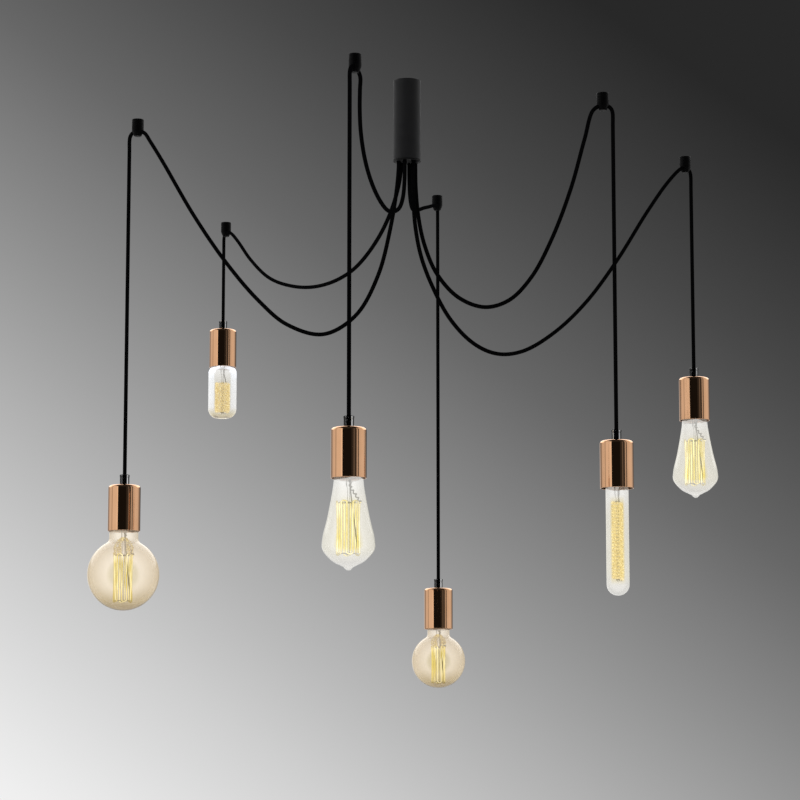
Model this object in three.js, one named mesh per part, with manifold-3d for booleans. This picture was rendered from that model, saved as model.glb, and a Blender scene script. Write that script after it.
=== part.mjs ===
// Pendant light with six lamps: a slim tube-shaped ceiling canopy, six cords that drape over
// ceiling hooks, copper lampholder cups and clear filament bulbs.
// Millimetres, +Z up. The ceiling is z = 0 and everything hangs below it.
// The origin is the centre of the canopy's ceiling bracket.

import * as THREE from 'three';
import { mergeVertices } from 'three/addons/utils/BufferGeometryUtils.js';
import Module from 'manifold-3d';

const wasm = await Module();
wasm.setup();

// Clearances and cut lengths
const fit = 0.3;
const cutOverrun = 1;
const tiny = 1e-6;
const weldReach = 1e-4;

// Cord
const cordRadius = 2.6;
const cordSides = 8;
const cordBore = cordRadius + fit;
const cordBendDiameters = 2;
const cordBend = cordBendDiameters * 2 * cordRadius;

// Canopy
const canopyRadius = 17.5;
const canopyLength = 105;
const canopyWall = 1.5;
const canopySides = 24;
const canopyBore = canopyRadius - canopyWall;

// End plate with its cord outlets, held by one screw
const plateFlange = 1.2;
const plateSpigot = 3;
const outletInset = 5;
const outletCircle = canopyBore - outletInset;
const outletTurn = THREE.MathUtils.degToRad(15);
const plateScrewTurn = THREE.MathUtils.degToRad(-15);
const plateScrewRadius = 1.5;
const plateScrewHead = 2.6;
const plateScrewHeadHeight = 2;
const plateScrewGrip = 6;

// Ceiling bracket inside the canopy
const bracketGap = 1.4;
const bracketRadius = canopyBore - bracketGap;
const bracketThickness = 2;
const bracketScrewRadius = 2.2;
const bracketScrewInset = 5.6;
const bracketScrewCircle = bracketRadius - bracketScrewInset;
const bracketCableRadius = 3.6;
const bracketCableInset = 5.8;
const bracketCableCircle = bracketRadius - bracketCableInset;
const bracketPostRadius = 2.8;
const legWidth = 4.4;
const legThickness = 1.5;
const bossDepth = 4.6;
const bossHeight = 9;

// The boss stands just inside the canopy's flats, and the end plate's screw goes up its middle
const canopyFlat = canopyBore * Math.cos(Math.PI / canopySides);
const plateScrewCircle = Math.sqrt((canopyFlat - fit) ** 2 - (legWidth / 2) ** 2) - bossDepth / 2;

// Terminal block inside the canopy, beside the bracket's leg
const blockGap = 0.5;
const blockRadius = plateScrewCircle - legThickness / 2 - blockGap;
const blockHeight = 17;
const blockTop = 42;
const blockScrewRadius = 1.4;
const blockScrewDepth = 2.5;
const blockScrewInset = 4.5;
const blockScrewCircle = blockRadius - blockScrewInset;
const blockScrewSides = 6;
const blockEdge = 1.4;

// Ceiling hooks
const hookRadius = 8;
const hookTaper = 7.5;
const hookTipRadius = 4.9;
const hookScrewRadius = 2.1;
const hookSides = 12;
const cordSeatDepth = 16;
const hookFloor = 4.1;
const hookHeight = cordSeatDepth + cordBore + hookFloor;
const cordSeatHalf = 3;
const cordBendTurn = THREE.MathUtils.degToRad(60);
const channelPoints = 6;

// Copper cup
const cupRadius = 21.5;
const cupWall = 1;
const cupBore = cupRadius - cupWall;
const cupEdge = 4;
const cupOverhang = 13.2;
const cupSides = 16;

// Cord grip on top of the cup
const gripRadius = 6.3;
const gripHeight = 14;
const gripCollar = 0.5;
const gripCollarHeight = 3.4;
const gripShankRadius = 4.8;
const gripShankLength = 9;
const gripSides = 10;

// Lampholder inside the cup
const holderHeadRadius = 12;
const holderHeadHeight = 7;
const holderGap = 1.3;
const holderRadius = cupBore - holderGap;
const holderShoulder = 9;
const holderInset = 0.5;
const holderFloor = 18.5;
const holderContactRadius = 4;
const holderContactHeight = 2;
const holderCordDepth = 3;
const holderSides = 12;

// Screw base of the bulbs
const baseRadius = 13.1;
const baseLength = 26;
const baseSkirtLength = 18.5;
const baseShellWall = 0.7;
const basePocket = 8.5;
const baseContactRadius = 3.8;
const baseContactHeight = 2;
const baseConeRadius = 10.6;
const baseConeHeight = 3.6;
const baseGap = 0.5;
const threadClearance = 0.8;
const bulbSides = 14;

// Glass stem inside the bulbs
const glassWall = 1;
const neckFlareLength = 7.5;
const stemRadius = 3.2;
const stemLength = 8;
const stemFlareLength = 12;
const rodRadius = 1.6;
const rodBore = 0.8;
const rodOverhang = 3;

// Filament wire and its support stars
const wireRadius = 0.35;
const coilWireRadius = 0.45;
const wireSides = 3;
const coilWireSides = 5;
const coilSteps = 8;
const starThickness = 0.6;
const starArmWidth = 0.9;
const starHubRadius = 3;
const starArmOverrun = 0.5;
const hubSides = 8;
const cageAnchors = 5;
const cageTurn = THREE.MathUtils.degToRad(9);
const coilAnchors = 2;
const coilTail = 2.4;
const leadLength = 6;
const leadTurn = THREE.MathUtils.degToRad(60);

// Large globe bulb
const largeGlobeRadius = 47.5;
const largeGlobeNeckLength = 9.1;
const largeGlobeNeckGap = 1.3;
const largeGlobeFillet = 8;
const largeGlobeCageTop = 32;
const largeGlobeCageFloor = 13;
const largeGlobeCageRadius = 12.6;

// Small globe bulb
const smallGlobeRadius = 40;
const smallGlobeNeckLength = 7.3;
const smallGlobeNeckGap = 4;
const smallGlobeFillet = 7;
const smallGlobeCageTop = 27;
const smallGlobeCageFloor = 9;
const smallGlobeCageRadius = 10.5;

// Teardrop bulb, whose shares are [share of the radius, share of the drop] below the belly
// and [share of the way from the neck out to the radius, share of the drop] above it
const teardropRadius = 32;
const teardropDrop = 110;
const teardropNeckGap = 2.9;
const teardropCageTop = 29;
const teardropCageFloor = 20;
const teardropCageRadius = 14.4;
const teardropBellyShares = [[0, 1], [0.2, 0.985], [0.58, 0.908], [0.87, 0.825], [1, 0.735]];
const teardropShoulderShares = [[0.91, 0.63], [0.56, 0.44], [0.2, 0.2], [0, 0]];

// Short capsule bulb
const capsuleRadius = 22.5;
const capsuleDrop = 82;
const capsuleNeckGap = 1.1;
const capsuleShoulder = 8;
const capsuleFlat = 7.5;
const capsuleCoilTop = 25;
const capsuleCoilFloor = 9;
const capsuleCoilRadius = 10;
const capsuleCoilTurns = 7;

// Long tube bulb
const tubeRadius = 14.5;
const tubeDrop = 136;
const tubeShoulder = 7.5;
const tubeFlat = 0.5;
const tubeCoilTop = 17;
const tubeCoilFloor = 20;
const tubeCoilRadius = 6.8;
const tubeCoilTurns = 9;

// Where each hook sits on the ceiling, and how far below the ceiling each cup's top hangs
const hookX1 = -363;
const hookY1 = 201;
const cupTop1 = 496;
const hookX2 = -289;
const hookY2 = 881;
const cupTop2 = 173;
const hookX3 = -64;
const hookY3 = -128;
const cupTop3 = 463;
const hookX4 = 48;
const hookY4 = 680;
const cupTop4 = 601;
const hookX5 = 254;
const hookY5 = 60;
const cupTop5 = 454;
const hookX6 = 400;
const hookY6 = 421;
const cupTop6 = 319;

// Cord routes from the canopy to the hooks, as [reach from the outlet, height]
const outletStraight = 7;
const swag1 = [[3, -142], [12, -190], [30, -249], [62, -297], [110, -318], [166, -301], [210, -266],
  [262, -210], [313, -143], [366, -62], [386, -33]];
const swag2 = [[5, -126], [20, -143], [50, -164], [98, -184], [180, -202], [265, -206], [385, -197],
  [515, -174], [650, -137], [760, -89], [840, -45], [884, -24]];
const swag3 = [[1, -134], [5, -154], [14, -169], [29, -177], [46, -179], [66, -171], [88, -153],
  [106, -127], [117, -95], [120, -66], [119.6, -42]];
const swag4 = [[2, -125], [10, -139], [28, -148], [60, -150], [110, -141], [200, -122], [320, -94],
  [430, -69], [530, -46], [620, -26]];
const swag5 = [[0.5, -138], [4, -176], [12, -212], [28, -248], [56, -277], [90, -288], [122, -278],
  [152, -247], [180, -195], [206, -128], [225, -62]];
const swag6 = [[0, -148], [4, -190], [15, -227], [36, -262], [69, -299], [113, -325], [160, -334],
  [213, -325], [280, -292], [350, -241], [420, -173], [490, -94], [540, -43]];

// Angle at which each cord climbs into its hook
const climb1 = THREE.MathUtils.degToRad(50);
const climb2 = THREE.MathUtils.degToRad(20);
const climb3 = THREE.MathUtils.degToRad(80);
const climb4 = THREE.MathUtils.degToRad(12);
const climb5 = THREE.MathUtils.degToRad(72);
const climb6 = THREE.MathUtils.degToRad(42);

// Finishes
const powderBlack = new THREE.MeshStandardMaterial({ color: 0x2b2b2c, roughness: 0.55, metalness: 0.1 });
const matteBlack = new THREE.MeshStandardMaterial({ color: 0x121213, roughness: 0.5, metalness: 0 });
const cordBlack = new THREE.MeshStandardMaterial({ color: 0x0d0d0e, roughness: 0.8, metalness: 0 });
const copper = new THREE.MeshStandardMaterial({ color: 0xc98c67, roughness: 0.08, metalness: 1 });
const clearPlastic = new THREE.MeshStandardMaterial({ color: 0x9a9da0, roughness: 0.15, metalness: 0 });
const blockWhite = new THREE.MeshStandardMaterial({ color: 0xe6e3dc, roughness: 0.4, metalness: 0 });
const steel = new THREE.MeshStandardMaterial({ color: 0xa9abad, roughness: 0.35, metalness: 1 });
const capMetal = new THREE.MeshStandardMaterial({ color: 0xc4c1ba, roughness: 0.3, metalness: 1 });
const clearGlass = new THREE.MeshStandardMaterial({ color: 0xf3eee6, roughness: 0.05, metalness: 0 });
const amberGlass = new THREE.MeshStandardMaterial({ color: 0xe2c79c, roughness: 0.05, metalness: 0 });
const glow = new THREE.MeshStandardMaterial({ color: 0xffd873, roughness: 0.5, metalness: 0 });

const group = new THREE.Group();

// A closed mesh with shared corners and no empty triangles
function weld(geometry) {
  const bare = geometry.clone();
  bare.deleteAttribute('normal');
  bare.deleteAttribute('uv');
  const merged = mergeVertices(bare, weldReach);
  const corners = merged.index.array;
  const kept = [];
  for (let i = 0; i < corners.length; i += 3) {
    const [a, b, c] = [corners[i], corners[i + 1], corners[i + 2]];
    if (a !== b && b !== c && c !== a) kept.push(a, b, c);
  }
  merged.setIndex(kept);
  return merged;
}

function toSolid(geometry) {
  const closed = weld(geometry);
  return new wasm.Manifold(new wasm.Mesh({
    numProp: 3,
    vertProperties: new Float32Array(closed.attributes.position.array),
    triVerts: new Uint32Array(closed.index.array),
  }));
}

function toGeometry(solid) {
  const mesh = solid.getMesh();
  const geometry = new THREE.BufferGeometry();
  geometry.setAttribute('position', new THREE.BufferAttribute(new Float32Array(mesh.vertProperties), 3));
  geometry.setIndex(new THREE.BufferAttribute(new Uint32Array(mesh.triVerts), 1));
  return geometry;
}

function join(geometries) {
  return toGeometry(geometries.map(toSolid).reduce((sum, next) => sum.add(next)));
}

function cut(geometry, cutters) {
  const body = toSolid(geometry);
  return toGeometry(cutters.map(toSolid).reduce((rest, cutter) => rest.subtract(cutter), body));
}

function addPiece(parent, name, geometry, material) {
  const closed = weld(geometry);
  closed.computeVertexNormals();
  const mesh = new THREE.Mesh(closed, material);
  mesh.name = name;
  parent.add(mesh);
  return mesh;
}

// An outline of [radius, height] points turned about the Z axis
function revolve(outline, sides) {
  const points = outline.map(([radius, height]) => new THREE.Vector2(radius, height));
  return new THREE.LatheGeometry(points, sides).rotateX(Math.PI / 2);
}

// A closed outline that stays off the axis, such as a ring or a sleeve
function revolveRing(outline, sides) {
  return revolve([...outline, outline[0]], sides);
}

function roundBar(radius, bottom, top, sides) {
  return revolve([[0, bottom], [radius, bottom], [radius, top], [0, top]], sides);
}

// Points of an arc in an outline, from one angle to another, both ends included
function arc(centreRadius, centreHeight, radius, from, to, steps) {
  const points = [];
  for (let i = 0; i <= steps; i += 1) {
    const angle = from + (to - from) * i / steps;
    const pointRadius = centreRadius + radius * Math.cos(angle);
    points.push([pointRadius < tiny ? 0 : pointRadius, centreHeight + radius * Math.sin(angle)]);
  }
  return points;
}

// A smooth curve that is sampled at its own points, so that bends keep their points
class RouteCurve extends THREE.CatmullRomCurve3 {
  getUtoTmapping(u) {
    return u;
  }
}

function polygon(radius, sides) {
  const points = [];
  for (let i = 0; i < sides; i += 1) {
    const angle = 2 * Math.PI * i / sides;
    points.push(new THREE.Vector2(radius * Math.cos(angle), radius * Math.sin(angle)));
  }
  return new THREE.Shape(points);
}

function tube(points, radius, sides) {
  return new THREE.ExtrudeGeometry(polygon(radius, sides), {
    steps: points.length - 1,
    bevelEnabled: false,
    extrudePath: new RouteCurve(points),
  });
}

function onCircle(radius, turn, height) {
  return new THREE.Vector3(radius * Math.cos(turn), radius * Math.sin(turn), height);
}

function placed(geometry, point) {
  return geometry.clone().translate(point.x, point.y, point.z);
}

// Canopy

const tubeEnd = -canopyLength + plateFlange + fit;
const plateTop = tubeEnd - fit + plateSpigot;
const blockBottom = -blockTop - blockHeight;
const cordTailTop = blockBottom - fit;

function makeCanopyTube() {
  return revolveRing([[canopyBore, tubeEnd], [canopyRadius, tubeEnd], [canopyRadius, 0], [canopyBore, 0]],
    canopySides);
}

function makeEndPlate() {
  const spigotRadius = canopyBore - fit;
  const disc = revolve([[0, -canopyLength], [canopyRadius, -canopyLength],
    [canopyRadius, -canopyLength + plateFlange], [spigotRadius, -canopyLength + plateFlange],
    [spigotRadius, plateTop], [0, plateTop]], canopySides);
  const outlet = roundBar(cordBore, -canopyLength - cutOverrun, plateTop + cutOverrun, cordSides);
  const outlets = lamps.map((lamp) => placed(outlet, onCircle(outletCircle, lamp.outlet, 0)));
  const screwHole = roundBar(plateScrewRadius + fit, -canopyLength - cutOverrun, plateTop + cutOverrun,
    cordSides);
  return cut(disc, [...outlets, placed(screwHole, onCircle(plateScrewCircle, plateScrewTurn, 0))]);
}

function makePlateScrew() {
  const headTop = -canopyLength - fit;
  const screw = revolve([[0, headTop - plateScrewHeadHeight],
    [plateScrewHead / 2, headTop - plateScrewHeadHeight],
    [plateScrewHead, headTop - plateScrewHeadHeight / 2], [plateScrewHead, headTop],
    [plateScrewRadius, headTop], [plateScrewRadius, plateTop + plateScrewGrip],
    [0, plateTop + plateScrewGrip]], cordSides);
  return placed(screw, onCircle(plateScrewCircle, plateScrewTurn, 0));
}

function makeBracket() {
  const disc = roundBar(bracketRadius, -bracketThickness, 0, canopySides);
  const post = roundBar(bracketPostRadius, -blockTop + fit, -bracketThickness / 2, cordSides);
  const legBottom = plateTop + fit;
  const legHeight = -bracketThickness / 2 - legBottom;
  const leg = new THREE.BoxGeometry(legThickness, legWidth, legHeight);
  leg.translate(plateScrewCircle, 0, legBottom + legHeight / 2);
  const boss = new THREE.BoxGeometry(bossDepth, legWidth, bossHeight);
  boss.translate(plateScrewCircle, 0, legBottom + bossHeight / 2);
  const tapped = roundBar(plateScrewRadius + fit, legBottom - cutOverrun,
    plateTop + plateScrewGrip + cutOverrun, cordSides);
  tapped.translate(plateScrewCircle, 0, 0);
  const arm = cut(join([leg, boss]), [tapped]).rotateZ(plateScrewTurn);
  const screwHole = roundBar(bracketScrewRadius, -bracketThickness - cutOverrun, cutOverrun, cordSides);
  const cableHole = roundBar(bracketCableRadius, -bracketThickness - cutOverrun, cutOverrun, cordSides);
  const plate = cut(disc, [placed(screwHole, onCircle(bracketScrewCircle, Math.PI, 0)),
    placed(screwHole, onCircle(bracketScrewCircle, 0, 0)),
    placed(cableHole, onCircle(bracketCableCircle, Math.PI / 2, 0))]);
  return join([plate, post, arm]);
}

function makeTerminalBlock() {
  const body = revolve([[0, blockBottom], [blockRadius, blockBottom], [blockRadius, -blockTop - blockEdge],
    [blockRadius - blockEdge, -blockTop], [0, -blockTop]], holderSides);
  const recess = roundBar(blockScrewRadius, -blockTop - blockScrewDepth, -blockTop + cutOverrun,
    blockScrewSides);
  const recesses = lamps.map((lamp) => placed(recess, onCircle(blockScrewCircle, lamp.outlet, 0)));
  return cut(body, recesses);
}

// Hooks and cords

// The cord's bend over the hook seat and down to the drop, as [reach, height]
function hookBend(seatReach, climb) {
  const seat = -cordSeatDepth;
  const rising = [seatReach - cordSeatHalf - cordBend * Math.sin(climb),
    seat - cordBend * (1 - Math.cos(climb))];
  const falling = arc(seatReach + cordSeatHalf, seat - cordBend, cordBend, cordBendTurn, 0, 2);
  return [rising, [seatReach, seat], ...falling];
}

function cordRoute(lamp) {
  const start = onCircle(outletCircle, lamp.outlet, 0);
  const hook = new THREE.Vector3(lamp.hookX, lamp.hookY, 0);
  const reach = hook.distanceTo(start);
  const heading = hook.clone().sub(start).normalize();
  const profile = [[0, cordTailTop], [0, -canopyLength - outletStraight], ...lamp.swag,
    ...hookBend(reach, lamp.climb)];
  return profile.map(([out, height]) => start.clone().addScaledVector(heading, out).setZ(height));
}

function makeHook(lamp, route) {
  const body = revolve([[0, -hookHeight], [hookTipRadius, -hookHeight],
    [hookRadius, -hookHeight + hookTaper], [hookRadius, 0], [hookScrewRadius, 0],
    [hookScrewRadius, -cordSeatDepth], [0, -cordSeatDepth]], hookSides);
  body.translate(lamp.hookX, lamp.hookY, 0);
  const channel = tube(route.slice(-channelPoints), cordBore, cordSides);
  return cut(body, [channel]);
}

// Height of the pivot at the top of each drop, just under the hook's bend
const pivotHeight = -cordSeatDepth - cordBend - fit - cordRadius;

function makeDrop(length) {
  const straight = new THREE.ExtrudeGeometry(polygon(cordRadius, cordSides), {
    depth: length,
    steps: 2,
    bevelEnabled: false,
  });
  const roundTop = new THREE.SphereGeometry(cordRadius, cordSides, cordSides / 2 + 1).rotateX(Math.PI / 2);
  return join([straight, placed(roundTop, new THREE.Vector3(0, 0, length))]);
}

// Cup, grip and lampholder, drawn with the cup's top at z = 0

const shankBore = gripShankRadius + fit;
const holderTop = -cupWall - fit;
const socketFloor = holderTop - holderFloor;
const contactFace = socketFloor - holderContactHeight;
const baseTop = contactFace - baseGap;
const baseBottom = baseTop - baseLength;
const holderBottom = baseBottom + holderInset;
const mouth = holderBottom - cupOverhang;
const shankBottom = fit - gripShankLength;
const cordEntry = shankBottom - fit;
const cordEnd = cordEntry - holderCordDepth + fit;

function makeCup() {
  const roundCentre = cupRadius - cupEdge;
  return revolveRing([[cupBore, mouth], [cupRadius, mouth],
    ...arc(roundCentre, -cupEdge, cupEdge, 0, Math.PI / 2, 3),
    [shankBore, 0], [shankBore, -cupWall],
    ...arc(roundCentre, -cupEdge, cupEdge - cupWall, Math.PI / 2, 0, 1)], cupSides);
}

function makeGrip() {
  const collarRadius = gripRadius + gripCollar;
  const collarBottom = fit + gripHeight - gripCollarHeight;
  return revolveRing([[cordBore, shankBottom], [gripShankRadius, shankBottom], [gripShankRadius, fit],
    [gripRadius, fit], [gripRadius, collarBottom], [collarRadius, collarBottom + gripCollar],
    [collarRadius, fit + gripHeight - gripCollar], [gripRadius, fit + gripHeight],
    [cordBore, fit + gripHeight]], gripSides);
}

function makeHolder() {
  const bore = baseRadius + threadClearance;
  return revolve([[0, contactFace], [holderContactRadius, contactFace], [holderContactRadius, socketFloor],
    [bore, socketFloor], [bore, holderBottom], [holderRadius, holderBottom],
    [holderRadius, holderTop - holderHeadHeight - holderShoulder],
    [holderHeadRadius, holderTop - holderHeadHeight], [holderHeadRadius, holderTop], [shankBore, holderTop],
    [shankBore, cordEntry], [cordBore, cordEntry], [cordBore, cordEntry - holderCordDepth],
    [0, cordEntry - holderCordDepth]], holderSides);
}

// Bulbs, in the cup's frame

const pocketRadius = baseRadius - baseShellWall;
const pocketFloor = baseBottom + basePocket;
const neckRadius = pocketRadius - fit;
const neckTop = pocketFloor - fit;
const pressBottom = mouth - stemLength;

function makeBase() {
  const skirtTop = baseBottom + baseSkirtLength;
  return revolve([[0, pocketFloor], [pocketRadius, pocketFloor], [pocketRadius, baseBottom],
    [baseRadius, baseBottom], [baseRadius, skirtTop], [baseConeRadius, skirtTop + baseConeHeight],
    [baseContactRadius, baseTop - baseContactHeight], [baseContactRadius, baseTop], [0, baseTop]],
  bulbSides);
}

// Each outline runs from the lowest point of the glass up to the cup's mouth

function globeOutline(radius, neckLength, neckGap, fillet) {
  const neck = cupBore - neckGap;
  const rise = Math.sqrt((radius + fillet) ** 2 - (neck + fillet) ** 2);
  const meet = Math.atan2(rise, neck + fillet);
  const filletHeight = mouth - neckLength;
  return [...arc(0, filletHeight - rise, radius, -Math.PI / 2, meet, 7),
    ...arc(neck + fillet, filletHeight, fillet, Math.PI + meet, Math.PI, 2).slice(1), [neck, mouth]];
}

function teardropOutline() {
  const neck = cupBore - teardropNeckGap;
  const belly = teardropBellyShares.map(([radiusShare, dropShare]) => (
    [radiusShare * teardropRadius, mouth - dropShare * teardropDrop]));
  const shoulder = teardropShoulderShares.map(([outShare, dropShare]) => (
    [neck + outShare * (teardropRadius - neck), mouth - dropShare * teardropDrop]));
  return [...belly, ...shoulder];
}

function tubularOutline(radius, drop, neck, shoulder, flat) {
  const bottom = mouth - drop;
  const corner = radius - flat;
  return [[0, bottom], ...arc(flat, bottom + corner, corner, -Math.PI / 2, 0, 4),
    [radius, mouth - shoulder], [(radius + neck) / 2, mouth - shoulder / 3], [neck, mouth]];
}

// The same outline moved inwards by the wall, from the mouth down to the axis
function innerOutline(outline, wall) {
  return outline.map((point, i) => {
    const before = outline[Math.max(i - 1, 0)];
    const after = outline[Math.min(i + 1, outline.length - 1)];
    const [alongRadius, alongHeight] = [after[0] - before[0], after[1] - before[1]];
    const length = Math.hypot(alongRadius, alongHeight);
    if (point[0] === 0) return [0, point[1] + wall];
    return [point[0] - wall * alongHeight / length, point[1] + wall * alongRadius / length];
  }).reverse();
}

function makeGlass(outline, filamentBottom) {
  const rodBottom = filamentBottom - rodOverhang;
  const stemTop = pressBottom + stemLength + stemFlareLength;
  const inner = innerOutline(outline, glassWall).filter(([radius], i, all) => (
    i === all.length - 1 || radius > 0));
  return revolve([...outline, [neckRadius, mouth + neckFlareLength + glassWall],
    [neckRadius, neckTop], [rodBore, neckTop], [rodBore, rodBottom], [rodRadius, rodBottom],
    [rodRadius, pressBottom - stemRadius], [stemRadius, pressBottom],
    [stemRadius, pressBottom + stemLength], [neckRadius - glassWall, stemTop],
    [neckRadius - glassWall, mouth + neckFlareLength], ...inner], bulbSides);
}

// A flat star round the glass rod, whose arms hold the filament
function makeStar(anchors, reach, turn, height) {
  const half = starArmWidth / 2;
  const hubAngle = Math.asin(half / starHubRadius);
  const corners = [];
  for (let i = 0; i < anchors; i += 1) {
    const angle = turn + 2 * Math.PI * i / anchors;
    const tip = reach + starArmOverrun;
    const tipAngle = Math.asin(half / tip);
    corners.push(onCircle(starHubRadius, angle - hubAngle, 0), onCircle(tip, angle - tipAngle, 0),
      onCircle(tip, angle + tipAngle, 0), onCircle(starHubRadius, angle + hubAngle, 0));
    for (let j = 1; j < Math.floor(hubSides / anchors); j += 1) {
      corners.push(onCircle(starHubRadius, angle + 2 * Math.PI * j / hubSides, 0));
    }
  }
  const shape = new THREE.Shape(corners.map((corner) => new THREE.Vector2(corner.x, corner.y)));
  shape.holes.push(polygon(rodRadius + fit, cordSides));
  const star = new THREE.ExtrudeGeometry(shape, { depth: starThickness, bevelEnabled: false });
  return star.translate(0, 0, height - starThickness / 2);
}

// A lead wire beside the glass press, from its upper end down
function leadPoints(turn, radius) {
  const leadCircle = stemRadius + fit + 2 * radius;
  return [onCircle(leadCircle, turn, pressBottom + leadLength), onCircle(leadCircle, turn, pressBottom)];
}

// A cage of upright strands: one wire that goes up and down between two stars
function makeCageFilament(top, bottom, radius) {
  const step = 2 * Math.PI / cageAnchors;
  const half = step / 4;
  const points = [...leadPoints(leadTurn, wireRadius)];
  for (let i = 0; i < cageAnchors; i += 1) {
    const topTurn = cageTurn + step * i;
    const bottomTurn = topTurn + step / 2;
    if (i > 0) points.push(onCircle(radius, topTurn - half, top));
    points.push(onCircle(radius, topTurn + half, top));
    points.push(onCircle(radius, bottomTurn - half, bottom));
    points.push(onCircle(radius, bottomTurn + half, bottom));
  }
  points.push(onCircle(radius, cageTurn - half, top), ...leadPoints(-leadTurn, wireRadius).reverse());
  return join([tube(points, wireRadius, wireSides), makeStar(cageAnchors, radius, cageTurn, top),
    makeStar(cageAnchors, radius, cageTurn + step / 2, bottom)]);
}

// A coil of wire round the glass rod, whose lower end goes back up beside the rod
function makeCoilFilament(name, top, bottom, radius, turns) {
  const returnCircle = rodRadius + fit + 2 * coilWireRadius;
  const coil = [];
  for (let i = 0; i <= turns * coilSteps; i += 1) {
    const turn = leadTurn + 2 * Math.PI * i / coilSteps;
    const height = top + (bottom - top) * i / (turns * coilSteps);
    coil.push(onCircle(radius, turn, height));
  }
  reportGap(name, coil, coilSteps, coilWireRadius);
  const end = leadTurn + 2 * Math.PI * turns;
  const points = [...leadPoints(leadTurn, coilWireRadius), ...coil,
    onCircle(returnCircle, end - leadTurn, bottom - coilTail),
    onCircle(returnCircle, -leadTurn, bottom), onCircle(returnCircle, -leadTurn, top),
    ...leadPoints(-leadTurn, coilWireRadius).reverse()];
  return join([tube(points, coilWireRadius, coilWireSides),
    makeStar(coilAnchors, radius, leadTurn, top), makeStar(coilAnchors, radius, leadTurn, bottom)]);
}

// Prints the least gap between one curl of a coil and the next
function reportGap(name, points, curl, radius) {
  let least = Infinity;
  for (let i = 0; i < points.length; i += 1) {
    for (let j = i + curl / 2; j < points.length; j += 1) {
      least = Math.min(least, points[i].distanceTo(points[j]) - 2 * radius);
    }
  }
  console.log(`${name}: least gap to itself ${least.toFixed(2)} mm`);
}

// The five bulb shapes. A filament's top is measured down from the cup's mouth, and its floor is
// measured up from the lowest point of the glass.

function makeBulb(glass, outline, filamentTop, filamentFloor, makeFilament) {
  const top = mouth - filamentTop;
  const bottom = outline[0][1] + filamentFloor;
  return { glass, outline, bottom, filament: () => makeFilament(top, bottom) };
}

const largeGlobe = makeBulb(amberGlass,
  globeOutline(largeGlobeRadius, largeGlobeNeckLength, largeGlobeNeckGap, largeGlobeFillet),
  largeGlobeCageTop, largeGlobeCageFloor,
  (top, bottom) => makeCageFilament(top, bottom, largeGlobeCageRadius));
const smallGlobe = makeBulb(amberGlass,
  globeOutline(smallGlobeRadius, smallGlobeNeckLength, smallGlobeNeckGap, smallGlobeFillet),
  smallGlobeCageTop, smallGlobeCageFloor,
  (top, bottom) => makeCageFilament(top, bottom, smallGlobeCageRadius));
const teardrop = makeBulb(clearGlass, teardropOutline(), teardropCageTop, teardropCageFloor,
  (top, bottom) => makeCageFilament(top, bottom, teardropCageRadius));
const capsule = makeBulb(clearGlass,
  tubularOutline(capsuleRadius, capsuleDrop, cupBore - capsuleNeckGap, capsuleShoulder, capsuleFlat),
  capsuleCoilTop, capsuleCoilFloor,
  (top, bottom) => makeCoilFilament('capsule coil', top, bottom, capsuleCoilRadius, capsuleCoilTurns));
const longTube = makeBulb(clearGlass,
  tubularOutline(tubeRadius, tubeDrop, tubeRadius, tubeShoulder, tubeFlat),
  tubeCoilTop, tubeCoilFloor,
  (top, bottom) => makeCoilFilament('tube coil', top, bottom, tubeCoilRadius, tubeCoilTurns));

// The six lamps, from left to right, with the outlet that each cord leaves by

const lampCount = 6;
const outletStep = 2 * Math.PI / lampCount;
const lamps = [
  {
    hookX: hookX1,
    hookY: hookY1,
    cupTop: cupTop1,
    outletNumber: 3,
    swag: swag1,
    climb: climb1,
    bulb: largeGlobe,
  },
  {
    hookX: hookX2,
    hookY: hookY2,
    cupTop: cupTop2,
    outletNumber: 2,
    swag: swag2,
    climb: climb2,
    bulb: capsule,
  },
  {
    hookX: hookX3,
    hookY: hookY3,
    cupTop: cupTop3,
    outletNumber: 4,
    swag: swag3,
    climb: climb3,
    bulb: teardrop,
  },
  {
    hookX: hookX4,
    hookY: hookY4,
    cupTop: cupTop4,
    outletNumber: 1,
    swag: swag4,
    climb: climb4,
    bulb: smallGlobe,
  },
  {
    hookX: hookX5,
    hookY: hookY5,
    cupTop: cupTop5,
    outletNumber: 0,
    swag: swag5,
    climb: climb5,
    bulb: longTube,
  },
  {
    hookX: hookX6,
    hookY: hookY6,
    cupTop: cupTop6,
    outletNumber: 5,
    swag: swag6,
    climb: climb6,
    bulb: teardrop,
  },
];
lamps.forEach((lamp) => {
  lamp.outlet = outletTurn + lamp.outletNumber * outletStep;
});

addPiece(group, 'canopy_tube', makeCanopyTube(), powderBlack);
addPiece(group, 'canopy_end_plate', makeEndPlate(), matteBlack);
addPiece(group, 'end_plate_screw', makePlateScrew(), matteBlack);
addPiece(group, 'ceiling_bracket', makeBracket(), steel);
addPiece(group, 'terminal_block', makeTerminalBlock(), blockWhite);

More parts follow.
